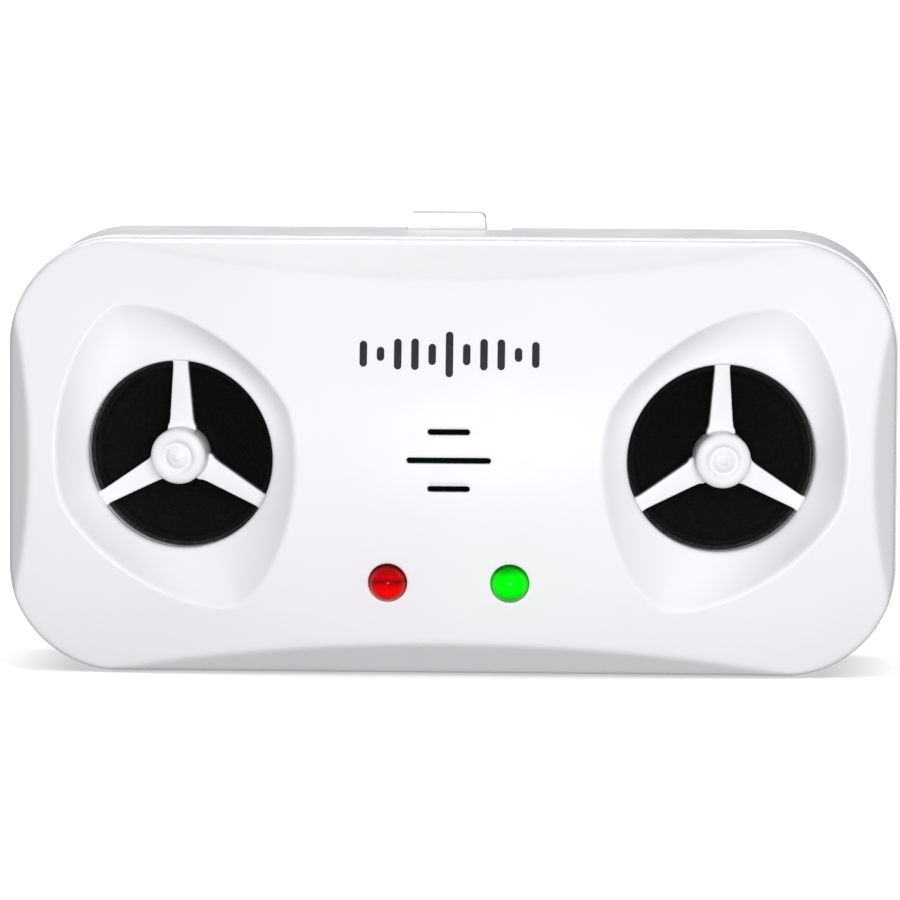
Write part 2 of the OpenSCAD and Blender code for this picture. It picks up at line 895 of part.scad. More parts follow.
module inlet_housing() {
  color([0.08, 0.08, 0.08])
    difference() {
      union() {
        translate([-inlet_w / 2, board_back_y, inlet_z - 4.5])
          cube([inlet_w, inner_back - board_back_y - 0.1, 10.5]);
        peg(0, inlet_z, inlet_r, inner_back - 1, rear_y - 0.3);
      }
      peg(0, inlet_z, inlet_hole_r, inner_back - 7.5, rear_y + 1);
    }
}

module inlet_contacts() {
  color("silver") {
    peg(0, inlet_z, inlet_pin_r, inner_back - 7.5, rear_y - 1.4);
    for (s = [-1, 1])
      translate([s * inlet_pin_x - 0.4, board_y - 1, inlet_z - 4.9])
        cube([0.8, board_t + 5, 0.4]);
  }
}

// ---------- slide switch ----------

module switch_can() {
  color("silver")
    translate([0, switch_y, can_top])
      difference() {
        union() {
          translate([-can_w / 2, -can_d / 2, -can_h])
            cube([can_w, can_d, can_h]);
          translate([0, 0, -sheet_t])
            linear_extrude(sheet_t)
              stadium(can_pitch + 5, can_d - 0.2);
        }
        translate([-can_w / 2 + sheet_t, -can_d / 2 + sheet_t, -can_h - 1])
          cube([can_w - 2 * sheet_t, can_d - 2 * sheet_t, can_h + 1 - sheet_t]);
        translate([-slot_x / 2, -slot_y / 2, -2])
          cube([slot_x, slot_y, 3]);
        for (s = [-1, 1])
          translate([s * can_pitch / 2, 0, -2])
            cylinder(r = small_screw_r + 0.15, h = 3, $fn = 32);
      }
}

module switch_base() {
  color([0.45, 0.25, 0.12])
    translate([-can_w / 2 + sheet_t, switch_y - can_d / 2 + sheet_t, can_top - can_h])
      cube([can_w - 2 * sheet_t, can_d - 2 * sheet_t, 1]);
}

module switch_terminals() {
  color("silver")
    for (k = [-1, 0, 1])
      translate([k * tag_x - 0.5, switch_y - 0.2, can_top - can_h - tag_l])
        cube([1, 0.4, tag_l]);
}

module switch_slider() {
  color([0.1, 0.1, 0.1])
    translate([cap_x, switch_y, 0]) {
      translate([-stem_w / 2, -stem_d / 2, stem_low])
        cube([stem_w, stem_d, stem_high - stem_low]);
      translate([-stem_w / 2 - 0.4, -can_d / 2 + sheet_t + 0.3, stem_low])
        cube([stem_w + 0.8, can_d - 2 * sheet_t - 0.6, 1.6]);
    }
}

module switch_cap() {
  low = track_floor + cap_lift;
  high = body_h + cap_rise;
  r = 0.8;
  color("white")
    translate([cap_x, switch_y, 0])
      difference() {
        translate([0, cap_d / 2, 0])
          rotate([90, 0, 0])
            linear_extrude(cap_d)
              union() {
                translate([-cap_w / 2 + r, low])
                  square([cap_w - 2 * r, high - low]);
                polygon([
                  [-cap_w / 2 + 0.0, low], [cap_w / 2 - 0.0, low],
                  [cap_w / 2 - 0.15, high - r], [-cap_w / 2 + 0.15, high - r]
                ]);
                for (k = [-1, 1])
                  translate([k * (cap_w / 2 - r - 0.15), high - r])
                    circle(r, $fn = 32);
              }
        translate([-stem_w / 2 - 0.02, -stem_d / 2 - 0.02, low - 1])
          cube([stem_w + 0.04, stem_d + 0.04, stem_high - low + 1.02]);
      }
}

// ---------- screws ----------

module switch_screws() {
  color("silver")
    for (s = [-1, 1])
      translate([s * can_pitch / 2, switch_y, 0]) {
        translate([0, 0, can_top - sheet_t])
          cylinder(r = small_screw_r, h = 4, $fn = 32);
        translate([0, 0, can_top - sheet_t - 1.1])
          difference() {
            cylinder(r = small_head_r, h = 1.1);
            for (a = [0, 90])
              rotate([0, 0, a])
                translate([-1, -0.2, -0.5])
                  cube([2, 0.4, 1]);
          }
      }
}

module case_screws() {
  tip_y = seam_y - post_pilot_h + 0.4;
  color("silver")
    for (sx = [-1, 1], sz = [-1, 1])
      translate([sx * post_x, 0, mid_z + sz * post_dz]) {
        peg(0, 0, case_screw_r, tip_y, screw_seat_y);
        difference() {
          peg(0, 0, case_head_r, screw_seat_y, screw_seat_y + 2);
          for (a = [0, 90])
            rotate([0, a, 0])
              translate([-1.6, screw_seat_y + 0.8, -0.3])
                cube([3.2, 2, 0.6]);
        }
      }
}

module board_screws() {
  color("silver")
    for (sx = [-1, 1], sz = [-1, 1])
      translate([sx * stand_x, 0, board_z + sz * stand_dz]) {
        peg(0, 0, small_screw_r, board_y, board_back_y + 5.5);
        difference() {
          peg(0, 0, small_head_r + 0.4, board_y - 1.2, board_y);
          for (a = [0, 90])
            rotate([0, a, 0])
              translate([-1.2, board_y - 1.8, -0.2])
                cube([2.4, 1.1, 0.4]);
        }
      }
}

// ---------- wires ----------

// A point given in a speaker's own axes, in the case's axes
function from_speaker(s, p) =
  let (a = speaker_down + 90, t = s * speaker_out)
  let (y = p[1] * cos(a) - p[2] * sin(a), z = p[1] * sin(a) + p[2] * cos(a))
  [s * speaker_x + p[0] * cos(t) - y * sin(t), speaker_y + p[0] * sin(t) + y * cos(t), speaker_z + z];

module speaker_wires(s) {
  for (k = [-1, 1]) {
    tag = [k * tag_x, -(magnet_r + magnet_in_r) / 2, basket_back - tag_board_t - tag_l];
    p = from_speaker(s, tag);
    pad = [s * (speaker_x - wire_run) + k * tag_x / 2, board_y, p[2] - 2];
    color(k > 0 ? [0.7, 0.1, 0.1] : [0.1, 0.1, 0.1])
      wire([
        p, from_speaker(s, tag - [0, 0, 0.8]),
        [(p[0] + 2 * pad[0]) / 3, (p[1] + board_y) / 2, p[2] - 1],
        pad - [0, 1.4, 0], pad
      ], wire_r, [0, 0, 1]);
  }
}

module switch_wires() {
  low_z = can_top - can_h - tag_l;
  pad_z = board_z + board_h / 2 - 4.8;
  for (k = [-1, 0, 1])
    color([0.8, 0.2, 0.2])
      wire([
        [k * tag_x, switch_y, low_z], [k * tag_x, switch_y, low_z - 1.5],
        [k * tag_x, (switch_y + board_back_y) / 2, pad_z + 0.5],
        [k * tag_x, board_back_y + 1.2, pad_z], [k * tag_x, board_back_y, pad_z]
      ], wire_r, [1, 0, 0]);
}

module rating_label() {
  color([0.92, 0.92, 0.92])
    along_y(rear_y - 0.2, rear_y - 0.05)
      translate([0, mid_z])
        round_rect(label_w, label_h, 1.2);
}

front_shell();
rear_shell();
guard(-1);  // guard_left
guard(1);  // guard_right
speaker_gasket(-1);  // speaker_gasket_left
speaker_gasket(1);  // speaker_gasket_right
speaker_frame(-1);  // speaker_frame_left
speaker_frame(1);  // speaker_frame_right
speaker_cone(-1);  // speaker_cone_left
speaker_cone(1);  // speaker_cone_right
piezo_disc(-1);  // piezo_disc_left
piezo_disc(1);  // piezo_disc_right
piezo_ceramic(-1);  // piezo_ceramic_left
piezo_ceramic(1);  // piezo_ceramic_right
speaker_terminals(-1);  // speaker_terminals_left
speaker_terminals(1);  // speaker_terminals_right
speaker_screws();
led(-1, [0.75, 0.02, 0.04]);  // led_red
led(1, [0.1, 0.85, 0.15]);  // led_green
led_legs();
circuit_board();
control_chip();
capacitors();
choke_coil();
transistors();
resistors();
inlet_housing();
inlet_contacts();
switch_can();
switch_base();
switch_terminals();
switch_slider();
switch_cap();
switch_screws();
case_screws();
board_screws();
speaker_wires(-1);  // speaker_wires_left
speaker_wires(1);  // speaker_wires_right
switch_wires();
rating_label();
printed_symbol();
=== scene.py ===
# Looks of the twin-speaker ultrasonic pest repeller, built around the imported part.
import json
import math

import bpy
import bmesh
import numpy as np
from mathutils import Matrix, Vector
from mathutils.geometry import delaunay_2d_cdt
from mathutils.kdtree import KDTree

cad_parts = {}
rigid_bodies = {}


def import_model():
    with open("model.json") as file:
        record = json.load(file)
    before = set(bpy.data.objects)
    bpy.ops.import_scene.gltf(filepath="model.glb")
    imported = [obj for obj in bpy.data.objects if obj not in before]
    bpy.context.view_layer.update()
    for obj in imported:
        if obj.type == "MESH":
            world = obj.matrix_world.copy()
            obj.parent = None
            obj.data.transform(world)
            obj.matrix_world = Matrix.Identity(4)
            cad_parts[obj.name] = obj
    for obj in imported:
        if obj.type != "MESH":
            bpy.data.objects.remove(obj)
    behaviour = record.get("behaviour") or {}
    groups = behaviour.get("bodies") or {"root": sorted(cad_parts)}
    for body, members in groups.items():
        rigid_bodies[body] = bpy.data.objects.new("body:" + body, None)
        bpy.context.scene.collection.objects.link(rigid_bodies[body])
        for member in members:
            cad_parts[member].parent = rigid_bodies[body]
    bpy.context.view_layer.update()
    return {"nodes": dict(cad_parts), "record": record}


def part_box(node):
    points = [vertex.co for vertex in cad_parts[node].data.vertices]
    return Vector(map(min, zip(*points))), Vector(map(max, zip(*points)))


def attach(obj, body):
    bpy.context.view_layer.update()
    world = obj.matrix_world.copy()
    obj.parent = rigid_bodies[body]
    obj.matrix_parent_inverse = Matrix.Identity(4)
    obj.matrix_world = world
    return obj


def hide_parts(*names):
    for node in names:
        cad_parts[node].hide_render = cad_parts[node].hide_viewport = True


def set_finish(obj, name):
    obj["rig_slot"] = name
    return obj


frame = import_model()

MM = 0.001
nodes = frame["nodes"]

# ---------------------------------------------------------------- sizes, in millimetres
front_low, front_high = (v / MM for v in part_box("front_shell"))
rear_low, rear_high = (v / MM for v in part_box("rear_shell"))
BODY_W = front_high.x - front_low.x
BODY_H = front_high.z - front_low.z
FRONT_Y = front_low.y
SEAM_Y = front_high.y
FRONT_D = SEAM_Y - FRONT_Y
MID_Z = BODY_H / 2
CORNER_R = 15.0
WALL = 2.0

SAG_X = 7.1                     # fall of the domed face to its left and right edges
SAG_Z = 6.17                    # fall to its top and bottom edges
SKIRT = 3.6                     # upright skirt beside the seam
LEAN = math.tan(math.radians(36.9))
RX = ((BODY_W / 2) ** 2 + SAG_X ** 2) / (2 * SAG_X)
RZ = (MID_Z ** 2 + SAG_Z ** 2) / (2 * SAG_Z)
CREASE_SOFT = 0.5               # softness of the crease between face and side walls
EDGE_R = 0.6                    # rounding where the face meets the skirt
FRONT_INSET = 0.3               # step down from the rear shell's edge to the front shell's

SPK_X = BODY_W / 2 - 23.7       # the case's edge to the middle of an opening
SPK_H = 6.2                     # the opening's middle above the seam
SPK_Z = MID_Z + 0.4
SPK_OUT = math.radians(8.9)     # turn of a speaker away from the middle
SPK_DOWN = math.radians(5.0)
OPEN_R = 12.75
LIP = 0.85                      # thickness of the opening's lip
SEAT_R = OPEN_R + 1.7           # pocket behind the lip that holds the guard
RIM_R = 0.45                    # rounding of the opening's rim

LEAF_A, LEAF_B = 21.7, 16.6     # half length and half width of the recess
LEAF_LEAN = math.radians(23.3)
LEAF_X, LEAF_Z = 36.8, MID_Z + 0.4
LEAF_POWER = 1.56               # below 2 draws the ends out to soft points
LEAF_SOFT = 0.4                 # softness of the recess's edge
LEAF_END_SLOPE = 1.35           # slope of the bowl at its edge, as a share of the mean slope
INNER_RAISE = 2.6               # how far the rim climbs on the side facing the middle of the case
TOP_DIP = 0.8                   # hollow of the bowl above the opening

LED_X, LED_Z, LED_R = 8.17, MID_Z - 16.1, 2.5
LED_GAP, LED_FLANGE_T, LED_FLANGE_W = 0.1, 1.0, 0.4
SLOT_Z, SLOT_W, SLOT_PITCH = MID_Z + 0.5, 0.8, 3.8
SLOT_LONG, SLOT_SHORT = 11.3, 5.7

# mesh density
STEP = 0.45                     # spacing along the outline
RIM_COUNT = 320                 # points round an opening
CREASE_ROWS = (-0.75, -0.5, -0.25, 0, 0.25, 0.5, 0.75)
NEAREST = 0.03                  # least distance of a feature point from a loop


# ---------------------------------------------------------------- mesh helpers
def new_object(name, verts_mm, faces, smooth=True):
    mesh = bpy.data.meshes.new(name)
    mesh.from_pydata([tuple(c * MM for c in v) for v in verts_mm], [], faces)
    mesh.validate()
    bm = bmesh.new()
    bm.from_mesh(mesh)
    bmesh.ops.recalc_face_normals(bm, faces=bm.faces)
    bm.to_mesh(mesh)
    bm.free()
    mesh.polygons.foreach_set("use_smooth", [smooth] * len(mesh.polygons))
    obj = bpy.data.objects.new(name, mesh)
    bpy.context.scene.collection.objects.link(obj)
    return obj


def lathe(profile, steps=128):
    """Closed body of revolution about local Z from (radius, height) points."""
    verts, faces, rings = [], [], []
    for r, h in profile:
        if r < 1e-6:
            rings.append([len(verts)])
            verts.append((0.0, 0.0, h))
        else:
            rings.append(list(range(len(verts), len(verts) + steps)))
            verts += [(r * math.cos(a), r * math.sin(a), h)
                      for a in (2 * math.pi * k / steps for k in range(steps))]
    for a, b in zip(rings, rings[1:]):
        for k in range(steps):
            n = (k + 1) % steps
            quad = [a[k % len(a)], a[n % len(a)], b[n % len(b)], b[k % len(b)]]
            quad = list(dict.fromkeys(quad))
            if len(quad) > 2:
                faces.append(quad)
    return verts, faces


def arc(cx, cy, r, a0, a1, n):
    return [(cx + r * math.cos(math.radians(a0 + (a1 - a0) * k / n)),
             cy + r * math.sin(math.radians(a0 + (a1 - a0) * k / n))) for k in range(n + 1)]


def merge(*pieces):
    verts, faces = [], []
    for v, f in pieces:
        base = len(verts)
        verts += list(v)
        faces += [[i + base for i in face] for face in f]
    return verts, faces


def speaker_matrix(s):
    """Speaker axes: local Z points out of the opening."""
    place = Matrix.Translation((s * SPK_X, SEAM_Y - SPK_H, SPK_Z))
    turn = Matrix.Rotation(s * SPK_OUT, 4, "Z") @ Matrix.Rotation(SPK_DOWN, 4, "X")
    return place @ turn @ Matrix.Rotation(math.pi / 2, 4, "X")


def at_matrix(m, verts):
    return [tuple(m @ Vector(v)) for v in verts]


# ---------------------------------------------------------------- front shell surface
def soft_min(a, b, k):
    h = np.clip(k - np.abs(a - b), 0, None) / np.maximum(k, 1e-6)
    return np.minimum(a, b) - h * h * k * 0.25


def dome(x, z, inset=0.0):
    ring = RX - RZ + np.sqrt((RZ - inset) ** 2 - (z - MID_Z) ** 2)
    return FRONT_D - RX + np.sqrt(ring ** 2 - x ** 2)


def base_height(x, z, inset=0.0):
    """Height of the domed face and its four leaning walls above the seam."""
    h = dome(x, z, inset)
    drop = inset * math.sqrt(1 + LEAN ** 2) / LEAN
    for wall in ((BODY_H - z), z, (BODY_W / 2 - x), (BODY_W / 2 + x)):
        h = soft_min(h, SKIRT + (wall - FRONT_INSET) / LEAN - drop, CREASE_SOFT)
    return h


class Recess:
    """Leaf-shaped bowl around one speaker, as a table over the angle about its centre."""

    def __init__(self, s):
        self.s = s
        self.m = speaker_matrix(s)
        self.cx, self.cz = s * SPK_X, SPK_Z
        ex, ey, ez = (np.array(self.m.col[k][:3]) for k in range(3))
        self.ex, self.ey, self.ez = ex, ey, ez
        self.angles = np.linspace(-math.pi, math.pi, 1441)
        dx, dz = np.cos(self.angles), np.sin(self.angles)
        dy = -(ez[0] * dx + ez[2] * dz) / ez[1]
        step = np.stack([dx, dy, dz], 1)
        self.inner = OPEN_R / np.hypot(step @ ex, step @ ey)
        toward_middle = np.clip(-self.s * dx, 0, 1)
        self.rim_h = SPK_H - dy * self.inner + INNER_RAISE * toward_middle ** 2
        self.dip = TOP_DIP * np.clip(dz, 0, 1)
        low, high = self.inner * 0 + 10, self.inner * 0 + 30
        for _ in range(40):
            mid = (low + high) / 2
            inside = self.leaf(self.cx + dx * mid, self.cz + dz * mid) < 1
            low, high = np.where(inside, mid, low), np.where(inside, high, mid)
        self.outer = (low + high) / 2
        ox, oz = self.cx + dx * self.outer, self.cz + dz * self.outer
        self.edge_h = base_height(ox, oz)
        beyond = base_height(ox + dx * 0.2, oz + dz * 0.2)
        before = base_height(ox - dx * 0.2, oz - dz * 0.2)
        slope = (beyond - before) / 0.4
        self.rise = self.edge_h - self.rim_h
        self.soft = LEAF_SOFT * (self.rise * LEAF_END_SLOPE / (self.outer - self.inner) - slope)

    def leaf(self, x, z):
        u, v = x - self.s * LEAF_X, z - LEAF_Z
        c, d = math.cos(LEAF_LEAN), self.s * math.sin(LEAF_LEAN)
        across, along = u * c - v * d, u * d + v * c
        p = LEAF_POWER
        return (np.abs(along) / LEAF_A) ** p + (np.abs(across) / LEAF_B) ** p

    def at(self, x, z):
        ang = np.arctan2(z - self.cz, x - self.cx)
        rad = np.hypot(x - self.cx, z - self.cz)
        pick = lambda table: np.interp(ang, self.angles, table)
        return ang, rad, pick

    def carve(self, h, x, z):
        """Lowers the face into the bowl, and rounds the rim of the opening."""
        ang, rad, pick = self.at(x, z)
        inner, outer = pick(self.inner), pick(self.outer)
        t = (rad - inner) / (outer - inner)
        e = LEAF_END_SLOPE
        f = np.where(t < 1, (2 - e) * t + (e - 1) * t * t, 1 + e * (t - 1))
        bowl = pick(self.rim_h) + pick(self.rise) * f - pick(self.dip) * 4 * t * (1 - t)
        near = t < 1.6
        out = np.where(near, soft_min(h, bowl, np.maximum(pick(self.soft), 0.02)), h)
        d = np.clip(rad - inner, 0, RIM_R)
        return out - (RIM_R - np.sqrt(RIM_R ** 2 - (RIM_R - d) ** 2))

    def ring(self, table, offset, count):
        """Points on a ring: a table radius plus an offset."""
        a = np.linspace(-math.pi, math.pi, count, endpoint=False)
        r = np.interp(a, self.angles, table) + offset
        return np.stack([self.cx + r * np.cos(a), self.cz + r * np.sin(a)], 1)

    def rim_point(self, a, r, w):
        """World point at speaker radius r and height w, in the direction a of the rim table."""
        dx, dz = np.cos(a), np.sin(a)
        dy = -(self.ez[0] * dx + self.ez[2] * dz) / self.ez[1]
        step = np.stack([dx, dy, dz], 1)
        lx, ly = step @ self.ex, step @ self.ey
        n = np.hypot(lx, ly)
        p = np.outer(lx / n * r, self.ex) + np.outer(ly / n * r, self.ey) + w * self.ez
        return p + np.array([self.cx, SEAM_Y - SPK_H, self.cz])


recesses = {s: Recess(s) for s in (-1, 1)}


def outline_loop(inset, spacing):
    """Rounded rectangle, anticlockwise, in X and Z. Every inset gives the same count of points."""
    r = CORNER_R - inset
    hw, hh = BODY_W / 2 - CORNER_R, BODY_H / 2 - CORNER_R
    n_arc = max(6, int(round(math.pi / 2 * CORNER_R / spacing)))
    pts = []
    for k, (sx, sz) in enumerate(((1, 1), (-1, 1), (-1, -1), (1, -1))):
        cx, cz = sx * hw, MID_Z + sz * hh
        for j in range(n_arc + 1):
            a = math.pi / 2 * (k + j / n_arc)
            pts.append((cx + r * math.cos(a), cz + r * math.sin(a)))
        run = (2 * hw, 2 * hh)[k % 2]
        dx, dz = ((-1, 0), (0, -1), (1, 0), (0, 1))[k]
        n = max(2, int(round(run / spacing)))
        last = pts[-1]
        pts += [(last[0] + dx * run * j / n, last[1] + dz * run * j / n) for j in range(1, n)]
    return np.array(pts)


def outline_distance(x, z):
    """Distance inwards from the case's outline."""
    qx = np.abs(x) - (BODY_W / 2 - CORNER_R)
    qz = np.abs(z - MID_Z) - (BODY_H / 2 - CORNER_R)
    outside = np.hypot(np.clip(qx, 0, None), np.clip(qz, 0, None))
    inside = np.minimum(np.maximum(qx, qz), 0)
    return CORNER_R - outside - inside


def face_height(x, z):
    h = base_height(x, z)
    d = np.clip(outline_distance(x, z) - FRONT_INSET, 0, EDGE_R)
    h = h - (EDGE_R - np.sqrt(np.maximum(EDGE_R ** 2 - (EDGE_R - d) ** 2, 0)))
    for s, rec in recesses.items():
        side = (x * s) > 5
        h = np.where(side, rec.carve(h, x, z), h)
    for hole in small_holes:
        h = h - hole["round"] + np.sqrt(np.maximum(
            hole["round"] ** 2 - (hole["round"] - np.clip(hole["far"](x, z), 0, hole["round"])) ** 2, 0))
    return h


def stadium_far(cx, cz, length, width):
    half = (length - width) / 2
    return lambda x, z: np.hypot(np.clip(np.abs(x - cx) - half, 0, None), z - cz) - width / 2


def stadium_loop(cx, cz, length, width, off, n):
    half, r = (length - width) / 2, width / 2 + off
    pts = [(cx + half + r * math.cos(a), cz + r * math.sin(a))
           for a in np.linspace(-math.pi / 2, math.pi / 2, n)]
    pts += [(cx + t * half, cz + r) for t in np.linspace(1, -1, 4 * n)[1:-1]] if half > 0 else []
    pts += [(cx - half + r * math.cos(a), cz + r * math.sin(a))
            for a in np.linspace(math.pi / 2, 3 * math.pi / 2, n)]
    pts += [(cx + t * half, cz - r) for t in np.linspace(-1, 1, 4 * n)[1:-1]] if half > 0 else []
    pts = np.array(pts)
    keep = [k for k in range(len(pts)) if np.hypot(*(pts[k] - pts[k - 1])) > 1e-6]
    return pts[keep]


small_holes = []
for cx in (-LED_X, LED_X):
    led_hole = 2 * (LED_R + LED_GAP)
    small_holes.append({"at": (cx, LED_Z, led_hole, led_hole), "round": 0.25, "n": 49})
for row, length in ((-1, SLOT_SHORT), (0, SLOT_LONG), (1, SLOT_SHORT)):
    small_holes.append({"at": (0.0, SLOT_Z + row * SLOT_PITCH, length, SLOT_W), "round": 0.12, "n": 9})
for hole in small_holes:
    hole["far"] = stadium_far(*hole["at"])
    hole["loop"] = stadium_loop(*hole["at"], 0.0, hole["n"])


def crease_points(spacing):
    """Rows of points that follow the creases between face and leaning walls."""
    rows = []
    for top in (True, False):
        x = np.arange(-50, 50.01, spacing)
        low, high = np.full_like(x, MID_Z), np.full_like(x, MID_Z + 29)
        for _ in range(40):
            mid = (low + high) / 2
            face = dome(x, mid) < SKIRT + (BODY_H - mid) / LEAN
            low, high = np.where(face, mid, low), np.where(face, high, mid)
        z = low if top else BODY_H - low
        rows += [np.stack([x, z + off], 1) for off in CREASE_ROWS]
    for s in (-1, 1):
        z = np.arange(MID_Z - 20, MID_Z + 20.01, spacing)
        low, high = np.full_like(z, 40.0), np.full_like(z, BODY_W / 2 - 0.1)
        for _ in range(40):
            mid = (low + high) / 2
            face = dome(mid, z) < SKIRT + (BODY_W / 2 - mid) / LEAN
            low, high = np.where(face, mid, low), np.where(face, high, mid)
        rows += [np.stack([s * (low + off), z], 1) for off in CREASE_ROWS]
    return rows


def triangulate(loops, features, grid, clear, keep):
    """Delaunay triangles over loops, feature points and a grid that stays clear of both."""
    fixed = [np.asarray(loop) for loop in loops]
    extra = np.concatenate(features) if features else np.zeros((0, 2))
    loop_pts = np.concatenate(fixed)
    tree = KDTree(len(loop_pts))
    for k, p in enumerate(loop_pts):
        tree.insert((p[0], p[1], 0), k)
    tree.balance()
    extra = [p for p in extra if keep(*p) and tree.find((p[0], p[1], 0))[2] > NEAREST]
    # features that crowd one another are thinned in order
    cell, seen, thin = 0.11, set(), []
    for p in extra:
        key = (int(p[0] // cell), int(p[1] // cell))
        if key not in seen:
            seen.add(key)
            thin.append(p)
    extra = np.array(thin).reshape(-1, 2)
    fixed_all = np.concatenate([loop_pts, extra]) if len(extra) else loop_pts
    tree = KDTree(len(fixed_all))
    for k, p in enumerate(fixed_all):
        tree.insert((p[0], p[1], 0), k)
    tree.balance()
    xs = np.arange(-BODY_W / 2, BODY_W / 2, grid)
    zs = np.arange(0, BODY_H, grid * math.sqrt(3) / 2)
    free = []
    for j, z in enumerate(zs):
        for x in xs + (grid / 2 if j % 2 else 0):
            if keep(x, z) and tree.find((x, z, 0))[2] > clear:
                free.append((x, z))
    pts = np.concatenate([fixed_all, np.array(free).reshape(-1, 2)])
    edges, start = [], 0
    for loop in fixed:
        n = len(loop)
        edges += [(start + k, start + (k + 1) % n) for k in range(n)]
        start += n
    co, _, tris, _, _, _ = delaunay_2d_cdt([Vector(p) for p in pts], edges, [], 0, 1e-6)
    co = np.array([(v.x, v.y) for v in co])
    tris = np.array(tris)
    mid = co[tris].mean(1)
    ok = np.array([keep(*p) for p in mid])
    return co, tris[ok]


def in_face(inset, open_r_table):
    def keep(x, z):
        if abs(x) > BODY_W / 2 - inset or outline_distance(np.float64(x), np.float64(z)) < inset - 1e-6:
            return False
        rec = recesses[1 if x > 0 else -1]
        rad = math.hypot(x - rec.cx, z - rec.cz)
        if rad < 16:
            a = math.atan2(z - rec.cz, x - rec.cx)
            if rad < float(np.interp(a, rec.angles, open_r_table[rec.s])) - 1e-6:
                return False
        return all(hole["far"](x, z) > -1e-6 for hole in small_holes if abs(x) < 12)
    return keep


def build_front_shell():
    outer_tables = {s: rec.inner for s, rec in recesses.items()}
    seat_tables = {s: rec.inner * SEAT_R / OPEN_R for s, rec in recesses.items()}

    # outer skin
    outline = outline_loop(FRONT_INSET, STEP)
    loops = [outline] + [rec.ring(rec.inner, 0.0, RIM_COUNT) for rec in recesses.values()]
    loops += [hole["loop"] for hole in small_holes]
    features = [outline_loop(FRONT_INSET + d, STEP) for d in (0.03, 0.09, 0.2, 0.36, 0.6)]
    for rec in recesses.values():
        features += [rec.ring(rec.inner, d, RIM_COUNT) for d in (0.03, 0.09, 0.18, 0.3, 0.45, 0.7)]
        features += [rec.ring(rec.outer, d, 420)
                     for d in (0, -0.2, 0.2, -0.4, 0.4, -0.65, 0.65, -0.95, 0.95)]
    for hole in small_holes:
        features += [stadium_loop(*hole["at"], d * hole["round"], hole["n"]) for d in (0.2, 0.5, 1.0)]
    features += crease_points(0.3)
    co, tris = triangulate(loops, features, 0.42, 0.27, in_face(FRONT_INSET, outer_tables))
    h = face_height(co[:, 0], co[:, 1])
    verts = [np.stack([co[:, 0], SEAM_Y - h, co[:, 1]], 1)]
    faces = [list(t) for t in tris]
    offset, spans = len(co), []
    start = 0
    for loop in loops:
        spans.append(range(start, start + len(loop)))
        start += len(loop)

    # inner skin
    inner_outline = outline_loop(WALL, 1.0)
    inner_loops = [inner_outline]
    inner_loops += [rec.ring(seat_tables[s], 0.0, RIM_COUNT) for s, rec in recesses.items()]
    inner_loops += [hole["loop"] for hole in small_holes]
    ico, itris = triangulate(inner_loops, [], 1.3, 0.7, in_face(WALL, seat_tables))
    ih = base_height(ico[:, 0], ico[:, 1], WALL)
    for s, rec in recesses.items():
        ang, rad, pick = rec.at(ico[:, 0], ico[:, 1])
        t = (rad - pick(rec.inner)) / (pick(rec.outer) - pick(rec.inner))
        bowl = pick(rec.rim_h) + pick(rec.rise) * t - WALL * 1.15
        ih = np.where((ico[:, 0] * s > 5) & (t < 1.5), np.minimum(ih, bowl), ih)
    ispans, start = [], 0
    for loop in inner_loops:
        ispans.append(range(start, start + len(loop)))
        start += len(loop)
    inner = np.stack([ico[:, 0], SEAM_Y - ih, ico[:, 1]], 1)
    for k, rec in enumerate(recesses.values()):
        a = np.linspace(-math.pi, math.pi, RIM_COUNT, endpoint=False)
        inner[list(ispans[1 + k])] = rec.rim_point(a, SEAT_R, -WALL)
    verts.append(inner)
    faces += [[i + offset for i in t[::-1]] for t in itris]
    total = offset + len(ico)

    def bridge(a, b):
        """Quads between two rings of the same count, or triangles between different counts."""
        if len(a) == len(b):
            n = len(a)
            for k in range(n):
                faces.append([a[k], a[(k + 1) % n], b[(k + 1) % n], b[k]])
            return
        i = j = 0
        na, nb = len(a), len(b)
        while i < na or j < nb:
            if j >= nb or (i < na and (i + 1) / na <= (j + 1) / nb):
                faces.append([a[i % na], a[(i + 1) % na], b[j % nb]])
                i += 1
            else:
                faces.append([a[i % na], b[(j + 1) % nb], b[j % nb]])
                j += 1

    def add_ring(points):
        nonlocal total
        verts.append(np.asarray(points))
        ring = list(range(total, total + len(points)))
        total += len(points)
        return ring

    # skirt down to the seam, with a small rounding, then in to the inner skin
    ring_a = list(spans[0])
    for inset, height in ((0.0, 0.2), (0.06, 0.06), (0.2, 0.0)):
        edge = outline_loop(FRONT_INSET + inset, STEP)
        ring_b = add_ring(np.stack([edge[:, 0], np.full(len(edge), SEAM_Y - height), edge[:, 1]], 1))
        bridge(ring_a, ring_b)
        ring_a = ring_b
    at_seam = np.full(len(inner_outline), SEAM_Y)
    ring_b = add_ring(np.stack([inner_outline[:, 0], at_seam, inner_outline[:, 1]], 1))
    bridge(ring_a, ring_b)
    bridge(ring_b, [i + offset for i in ispans[0]])

    # speaker openings: lip, pocket behind it, back edge
    a = np.linspace(-math.pi, math.pi, RIM_COUNT, endpoint=False)
    for k, rec in enumerate(recesses.values()):
        ring_a = list(spans[1 + k])
        for r, w in ((OPEN_R, -LIP), (SEAT_R, -LIP)):
            ring_b = add_ring(rec.rim_point(a, r, w))
            bridge(ring_a, ring_b)
            ring_a = ring_b
        bridge(ring_a, [i + offset for i in ispans[1 + k]])
    for k in range(len(small_holes)):
        bridge(list(spans[3 + k]), [i + offset for i in ispans[3 + k]])

    return new_object("front_shell_skin", np.concatenate(verts), faces)


front_skin = build_front_shell()
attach(front_skin, "case")
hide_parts("front_shell")
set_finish(front_skin, "shell_white")


